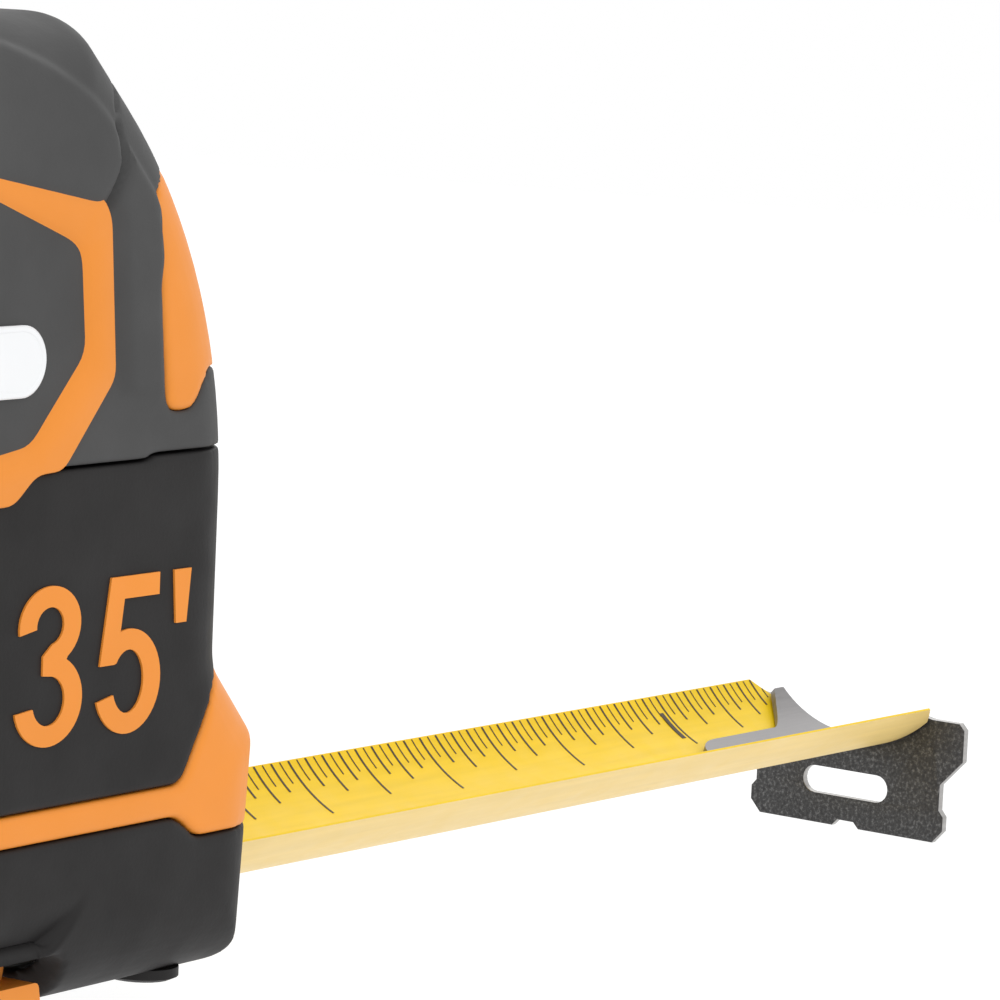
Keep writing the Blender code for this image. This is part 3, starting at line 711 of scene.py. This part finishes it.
def make_blade_numeral(mats, text, x, along, height):
    """An inch figure printed across the blade, which reads from the far side."""
    curve = bpy.data.curves.new("figure", "FONT")
    curve.body = text
    curve.resolution_u = 6
    curve.offset = 0.02
    probe = new_object("figure", curve)
    flat = modified_from(probe)
    xs = [v.co.x for v in flat.vertices]
    ys = [v.co.y for v in flat.vertices]
    scale = height / (max(ys) - min(ys))
    bm = bmesh.new()
    bm.from_mesh(flat)
    bmesh.ops.remove_doubles(bm, verts=bm.verts, dist=1e-5)
    bmesh.ops.subdivide_edges(bm, edges=bm.edges, cuts=2)
    low_x, low_y = min(xs), min(ys)
    for v in bm.verts:
        v.co = on_blade(x - (v.co.x - low_x) * scale, along + (v.co.y - low_y) * scale, PRINT_R)
    grown = bmesh.ops.extrude_face_region(bm, geom=bm.faces)
    axis = Vector((0.0, 0.0, BLADE_Z + BLADE_R))
    for v in grown["geom"]:
        if isinstance(v, bmesh.types.BMVert):
            inward = axis - Vector((0.0, v.co.y, v.co.z))
            v.co += inward.normalized() * PRINT_T
    bmesh.ops.recalc_face_normals(bm, faces=bm.faces)
    figure = place(f"figure_{text}", sagged(mesh_from(bm, "figure")), mats["ink"], "blade", (), 40)
    squash_with_blade(figure)


def modified_from(obj):
    bpy.context.view_layer.update()
    made = bpy.data.meshes.new_from_object(obj.evaluated_get(bpy.context.evaluated_depsgraph_get()))
    bpy.data.objects.remove(obj, do_unlink=True)
    return made


def make_figures(mats):
    make_blade_numeral(mats, "1", BLADE_END_X - INCH - 0.7, 2.6, 4.6)
    for inch in range(2, 7):
        make_blade_numeral(mats, str(inch), BLADE_END_X - inch * INCH - 1.0, 11.5, 8.0)


# ---------------------------------------------------------------- hook

HOOK_HALF = [
    (0.0, -9.9),
    (1.2, -9.9),
    (2.0, -10.7),
    (13.2, -10.7),
    (14.7, -9.1),
    (14.7, -7.3),
    (14.0, -6.5),
    (14.0, -3.3),
    (17.2, 0.0),
    (17.2, 4.0),
    (16.4, 4.8),
    (12.4, 4.8),
]


def hook_outline():
    r = BLADE_R - BLADE_T - 0.95
    half = list(HOOK_HALF)
    for k in range(13):
        a = math.radians(40 - 40 * k / 12)
        half.append((r * math.sin(a), BLADE_R - r * math.cos(a)))
    full = [(y, BLADE_Z + h) for y, h in half]
    return full + [(-y, z) for y, z in reversed(full[1:-1])]


def make_hook_plate(mats):
    plate = length_prism(hook_outline(), HOOK_X, HOOK_X + HOOK_T)
    slot = length_prism(pill(12.8, 3.4, 0.3, BLADE_Z - 5.15, 10), HOOK_X - 5, HOOK_X + 5)
    bevel = {"width": 0.14, "segments": 2, "limit_method": "ANGLE", "angle_limit": math.radians(50)}
    mesh = modified(plate, [("BEVEL", bevel)], [("DIFFERENCE", slot)])
    place("hook_plate", sagged(mesh), mats["hook"], "hook", ("hook",), 45)
    # The plate's edge faces take a lighter steel: a painted highlight along every edge.
    mesh.materials.append(mats["hook_edge_painted_highlight"])
    for polygon in mesh.polygons:
        if abs(polygon.normal.x) < 0.9:
            polygon.material_index = 1


TONGUE_HALF = 6.1
FLARE_START, FLARE_FULL = 9.5, 1.6
WING_HALF = 12.9


def flare_share(x):
    """From 0 where the strip starts to widen, to 1 where it is as wide as the wings."""
    return min(max((x - (HOOK_X - FLARE_START)) / (FLARE_START - FLARE_FULL), 0.0), 1.0)


def tongue_half_width(x):
    """Round at its inner end, straight along the tongue, then flaring out to the wings."""
    from_start = x - TONGUE_START
    if from_start < TONGUE_HALF:
        return TONGUE_HALF * math.sqrt(max(1 - (1 - from_start / TONGUE_HALF) ** 2, 0.004))
    return TONGUE_HALF + (WING_HALF - TONGUE_HALF) * flare_share(x) ** 1.4


def flare_lift(x, share):
    """How far the sheet stands off the blade as it turns up into the wings."""
    return 0.2 + 0.35 * (flare_share(x) * share) ** 2


def make_hook_tongue(mats):
    """The strip in the blade's hollow, which flares into the plate. It is one closed sheet."""
    xs = arc(0, 0, 1, 1, 180, 90, 10)
    stations = [TONGUE_START + TONGUE_HALF * (1 + x) for x, _ in xs]
    straight_end = HOOK_X - FLARE_START
    stations += [stations[-1] + (straight_end - stations[-1]) * k / 6 for k in range(1, 7)]
    widening = FLARE_START - FLARE_FULL
    stations += [straight_end + widening * k / 18 for k in range(1, 19)]
    stations += [HOOK_X - FLARE_FULL / 2, HOOK_X + HOOK_T / 2]
    rings = []
    for x in stations:
        half_angle = tongue_half_width(x) / (BLADE_R - BLADE_T)
        ring = []
        for thick, order in ((0.0, 1), (0.85, -1)):
            for k in range(25)[::order]:
                share = k / 12 - 1
                r = BLADE_R - BLADE_T - flare_lift(x, share) - thick
                a = half_angle * share
                ring.append(Vector((x, r * math.sin(a), BLADE_Z + BLADE_R - r * math.cos(a))))
        rings.append(ring)
    place("hook_tongue", sagged(loft(rings)), mats["tongue"], "hook", (), 50)


def make_rivets(mats):
    """Low domed heads: the lower one is thin, so that the hanging hook still clears the mouth's floor."""
    for name in ("rivet_1", "rivet_2"):
        low, high = box_mm(name)
        x, r = (low[0] + high[0]) / 2 - SHIFT_X, (high[0] - low[0]) / 2
        foot = BLADE_Z - 0.2
        steps = ((0.0, 0.5), (0.06, 0.8), (0.2, 1.0), (0.8, 1.0), (0.94, 0.8), (1.0, 0.5))
        rings = []
        for up, share in steps:
            z = foot + (high[2] - foot) * up
            rings.append([Vector((px, py, z)) for px, py in arc(x, 0.0, r * share, r * share, 0, 345, 23)])
        place(f"{name}_head", sagged(loft(rings)), mats["rivet"], "hook", (name,), 35)


# ---------------------------------------------------------------- materials


def new_material(name):
    made = bpy.data.materials.new(name)
    made.use_nodes = True
    nodes = made.node_tree.nodes
    return made, nodes, made.node_tree.links, nodes["Principled BSDF"]


def coordinates(nodes):
    return nodes.new("ShaderNodeTexCoord").outputs["Object"]


def noise(nodes, links, scale, detail=3.0, rough=0.5):
    """A noise with its features per metre given by scale."""
    node = nodes.new("ShaderNodeTexNoise")
    node.inputs["Scale"].default_value = scale
    node.inputs["Detail"].default_value = detail
    node.inputs["Roughness"].default_value = rough
    links.new(coordinates(nodes), node.inputs["Vector"])
    return node.outputs["Fac"]


def ramp(nodes, links, source, stops):
    """Colours or greys over a value: each stop is (place, colour)."""
    node = nodes.new("ShaderNodeValToRGB")
    elements = node.color_ramp.elements
    while len(elements) < len(stops):
        elements.new(0.5)
    for element, (position, color) in zip(elements, stops):
        element.position = position
        element.color = (*color, 1.0) if len(color) == 3 else color
    links.new(source, node.inputs["Fac"])
    return node.outputs["Color"]


def mapped(nodes, links, source, low, high, from_low=0.3, from_high=0.7):
    node = nodes.new("ShaderNodeMapRange")
    node.inputs["From Min"].default_value = from_low
    node.inputs["From Max"].default_value = from_high
    node.inputs["To Min"].default_value = low
    node.inputs["To Max"].default_value = high
    links.new(source, node.inputs["Value"])
    return node.outputs["Result"]


def bump(nodes, links, source, strength, distance, shader, before=None):
    node = nodes.new("ShaderNodeBump")
    node.inputs["Strength"].default_value = strength
    node.inputs["Distance"].default_value = distance
    links.new(source, node.inputs["Height"])
    if before is not None:
        links.new(before, node.inputs["Normal"])
    links.new(node.outputs["Normal"], shader.inputs["Normal"])
    return node.outputs["Normal"]


def shade(color, factor):
    return tuple(min(c * factor, 1.0) for c in color)


def moulded_material(name, color, roughness, grain, spread=0.12, gloss=0.5):
    """Moulded rubber or plastic: a fine sparked grain, faint cloudiness, and a varying dullness."""
    made, nodes, links, shader = new_material(name)
    clouds = noise(nodes, links, 45.0, 4.0, 0.6)
    stops = [(0.3, shade(color, 1 - spread)), (0.7, shade(color, 1 + spread))]
    links.new(ramp(nodes, links, clouds, stops), shader.inputs["Base Color"])
    dull = noise(nodes, links, 160.0, 3.0)
    links.new(mapped(nodes, links, dull, roughness - 0.06, roughness + 0.06), shader.inputs["Roughness"])
    fine = noise(nodes, links, 2600.0, 2.0)
    first = bump(nodes, links, fine, grain, 0.00006, shader)
    broad = noise(nodes, links, 220.0, 2.0)
    bump(nodes, links, broad, grain * 0.5, 0.00012, shader, first)
    shader.inputs["Specular IOR Level"].default_value = gloss
    return made


def blade_material(name, color, roughness, gloss):
    """Lacquered steel strip: even yellow with faint rolling streaks along its length."""
    made, nodes, links, shader = new_material(name)
    stretch = nodes.new("ShaderNodeMapping")
    stretch.inputs["Scale"].default_value = (0.06, 1.0, 1.0)
    links.new(coordinates(nodes), stretch.inputs["Vector"])
    streaks = nodes.new("ShaderNodeTexNoise")
    streaks.inputs["Scale"].default_value = 900.0
    links.new(stretch.outputs["Vector"], streaks.inputs["Vector"])
    stops = [(0.3, shade(color, 0.96)), (0.7, shade(color, 1.03))]
    links.new(ramp(nodes, links, streaks.outputs["Fac"], stops), shader.inputs["Base Color"])
    dull = noise(nodes, links, 300.0, 3.0)
    links.new(mapped(nodes, links, dull, roughness - 0.05, roughness + 0.07), shader.inputs["Roughness"])
    bump(nodes, links, streaks.outputs["Fac"], 0.12, 0.00004, shader)
    shader.inputs["Specular IOR Level"].default_value = gloss
    return made


def ink_material():
    made, nodes, links, shader = new_material("ink")
    patches = noise(nodes, links, 1500.0, 3.0)
    stops = [(0.35, (0.030, 0.016, 0.004)), (0.7, (0.06, 0.032, 0.006))]
    links.new(ramp(nodes, links, patches, stops), shader.inputs["Base Color"])
    links.new(mapped(nodes, links, patches, 0.45, 0.6), shader.inputs["Roughness"])
    return made


def hook_material():
    """Dark phosphated steel with a mottled, speckled face."""
    made, nodes, links, shader = new_material("hook_plate")
    mottle = noise(nodes, links, 2400.0, 6.0, 0.7)
    stops = [(0.3, (0.034, 0.034, 0.035)), (0.52, (0.062, 0.062, 0.063)), (0.7, (0.18, 0.18, 0.18))]
    dark = ramp(nodes, links, mottle, stops)
    links.new(dark, shader.inputs["Base Color"])
    shader.inputs["Metallic"].default_value = 0.75
    links.new(mapped(nodes, links, mottle, 0.55, 0.38), shader.inputs["Roughness"])
    bump(nodes, links, mottle, 0.35, 0.00008, shader)
    return made


def steel_material(name, color, roughness):
    """Plated or brushed steel with fine scratches along X."""
    made, nodes, links, shader = new_material(name)
    stretch = nodes.new("ShaderNodeMapping")
    stretch.inputs["Scale"].default_value = (0.08, 1.0, 1.0)
    links.new(coordinates(nodes), stretch.inputs["Vector"])
    scratches = nodes.new("ShaderNodeTexNoise")
    scratches.inputs["Scale"].default_value = 2200.0
    scratches.inputs["Detail"].default_value = 4.0
    links.new(stretch.outputs["Vector"], scratches.inputs["Vector"])
    stops = [(0.3, shade(color, 0.85)), (0.7, shade(color, 1.12))]
    links.new(ramp(nodes, links, scratches.outputs["Fac"], stops), shader.inputs["Base Color"])
    shader.inputs["Metallic"].default_value = 0.9
    links.new(mapped(nodes, links, scratches.outputs["Fac"], roughness - 0.08, roughness + 0.08),
              shader.inputs["Roughness"])
    bump(nodes, links, scratches.outputs["Fac"], 0.15, 0.00004, shader)
    return made


def make_materials():
    return {
        "grip": moulded_material("grip_rubber", (0.064, 0.064, 0.064), 0.66, 0.35, 0.12, 0.22),
        "cover": moulded_material("cover_rubber", (0.018, 0.017, 0.017), 0.58, 0.3, 0.12, 0.18),
        "shell": moulded_material("shell_abs", (0.020, 0.020, 0.021), 0.5, 0.3),
        "trim": moulded_material("orange_trim", (0.79, 0.262, 0.030), 0.48, 0.15, 0.04, 0.3),
        "badge": moulded_material("badge_face", (0.82, 0.83, 0.84), 0.35, 0.08, 0.02),
        "plastic": moulded_material("reel_nylon", (0.55, 0.55, 0.52), 0.5, 0.2, 0.05),
        "blade": blade_material("blade_face", (0.84, 0.57, 0.006), 0.42, 0.2),
        # a paler copy of the blade yellow for its outer face: painted light from below
        "blade_back_painted_light": blade_material("blade_back_painted_light", (0.83, 0.61, 0.225), 0.42, 0.4),
        "ink": ink_material(),
        "hook": hook_material(),
        "tongue": steel_material("tongue_steel", (0.27, 0.262, 0.262), 0.50),
        # lighter steel for the hook plate's edges: a painted highlight
        "hook_edge_painted_highlight": steel_material("painted_edge_highlight", (0.42, 0.41, 0.40), 0.40),
        "rivet": steel_material("rivet_steel", (0.50, 0.49, 0.48), 0.38),
        "screw": steel_material("plated_steel", (0.34, 0.34, 0.35), 0.36),
        "spring": steel_material("spring_steel", (0.26, 0.27, 0.30), 0.34),
    }


def dress_nodes(mats):
    """Gives each CAD node that stays the material of its slot."""
    slots = {s["node"]: s["material_slot"] for s in frame["record"]["subparts"]}
    for name, obj in frame["nodes"].items():
        obj.data.materials.clear()
        obj.data.materials.append(mats[slots[name]])


# ---------------------------------------------------------------- studio and camera

AZIMUTH, ELEVATION, ROLL = math.radians(-55.90), math.radians(6.50), math.radians(2.35)
LENS = 182.1
SENSOR = 36.0
CAMERA_MM = (-375.1, -316.2, 102.6)


def make_camera():
    back = Vector((math.sin(AZIMUTH) * math.cos(ELEVATION), -math.cos(AZIMUTH) * math.cos(ELEVATION),
                   math.sin(ELEVATION)))
    right = Vector((math.cos(AZIMUTH), math.sin(AZIMUTH), 0.0))
    up = back.cross(right)
    rolled_right = right * math.cos(ROLL) + up * math.sin(ROLL)
    rolled_up = up * math.cos(ROLL) - right * math.sin(ROLL)
    data = bpy.data.cameras.new("camera")
    data.lens = LENS
    data.sensor_width = SENSOR
    data.clip_start = 0.01
    data.clip_end = 20.0
    camera = bpy.data.objects.new("camera", data)
    bpy.context.scene.collection.objects.link(camera)
    turn = Matrix((rolled_right, rolled_up, back)).transposed().to_4x4()
    camera.matrix_world = Matrix.Translation(Vector(CAMERA_MM) * MM) @ turn
    bpy.context.scene.camera = camera


def area_light(name, position, target, size, power):
    data = bpy.data.lights.new(name, "AREA")
    data.shape = "SQUARE"
    data.size = size
    data.energy = power
    lamp = bpy.data.objects.new(name, data)
    bpy.context.scene.collection.objects.link(lamp)
    lamp.location = position
    lamp.rotation_euler = (Vector(target) - Vector(position)).to_track_quat("-Z", "Y").to_euler()


def make_lights():
    middle = (0.0, 0.0, 0.04)
    area_light("key", (-0.55, -0.75, 0.85), middle, 0.9, 2.6)
    area_light("fill", (-0.9, 0.5, 0.5), middle, 0.8, 0.9)
    area_light("rim", (0.8, 0.3, 0.7), middle, 0.7, 1.6)
    world = bpy.data.worlds.new("studio")
    world.use_nodes = True
    background = world.node_tree.nodes["Background"]
    background.inputs["Color"].default_value = (1.0, 1.0, 1.0, 1.0)
    background.inputs["Strength"].default_value = 1.0
    bpy.context.scene.world = world
    bpy.context.scene.view_settings.view_transform = "Standard"


def make_floor():
    """The tape rests on the back of its base and on its hook, so the floor is drawn at that small tilt."""
    heel = Vector((-30.5 + SHIFT_X, 0.0, 0.0))
    toe = Vector((hook_high[0], 0.0, hook_low[2] - (HOOK_X - SAG_X) * math.tan(SAG)))
    tilt = math.atan2(heel.z - toe.z, toe.x - heel.x)
    mesh = bpy.data.meshes.new("floor")
    half = 4.0
    corners = [(-half, -half, 0), (half, -half, 0), (half, half, 0), (-half, half, 0)]
    mesh.from_pydata(corners, [], [(0, 1, 2, 3)])
    made, _, _, shader = new_material("floor")  # it shines by itself, so that it is as plain as the room
    shader.inputs["Base Color"].default_value = (0.08, 0.08, 0.08, 1.0)
    shader.inputs["Emission Color"].default_value = (1.0, 1.0, 1.0, 1.0)
    shader.inputs["Emission Strength"].default_value = 0.97
    shader.inputs["Roughness"].default_value = 0.85
    floor = new_object("floor", mesh, made)
    floor.matrix_world = Matrix.Translation((heel.x * MM, 0.0, -0.0001)) @ Matrix.Rotation(tilt, 4, "Y")


def main():
    mats = make_materials()
    dress_nodes(mats)
    make_covers(mats)
    make_feet(mats)
    make_brake_lip(mats)
    make_ring(mats)
    make_badge(mats)
    make_numerals(mats)
    make_blade(mats)
    make_graduations(mats)
    make_figures(mats)
    make_hook_plate(mats)
    make_hook_tongue(mats)
    make_rivets(mats)
    make_floor()
    make_lights()
    make_camera()


main()
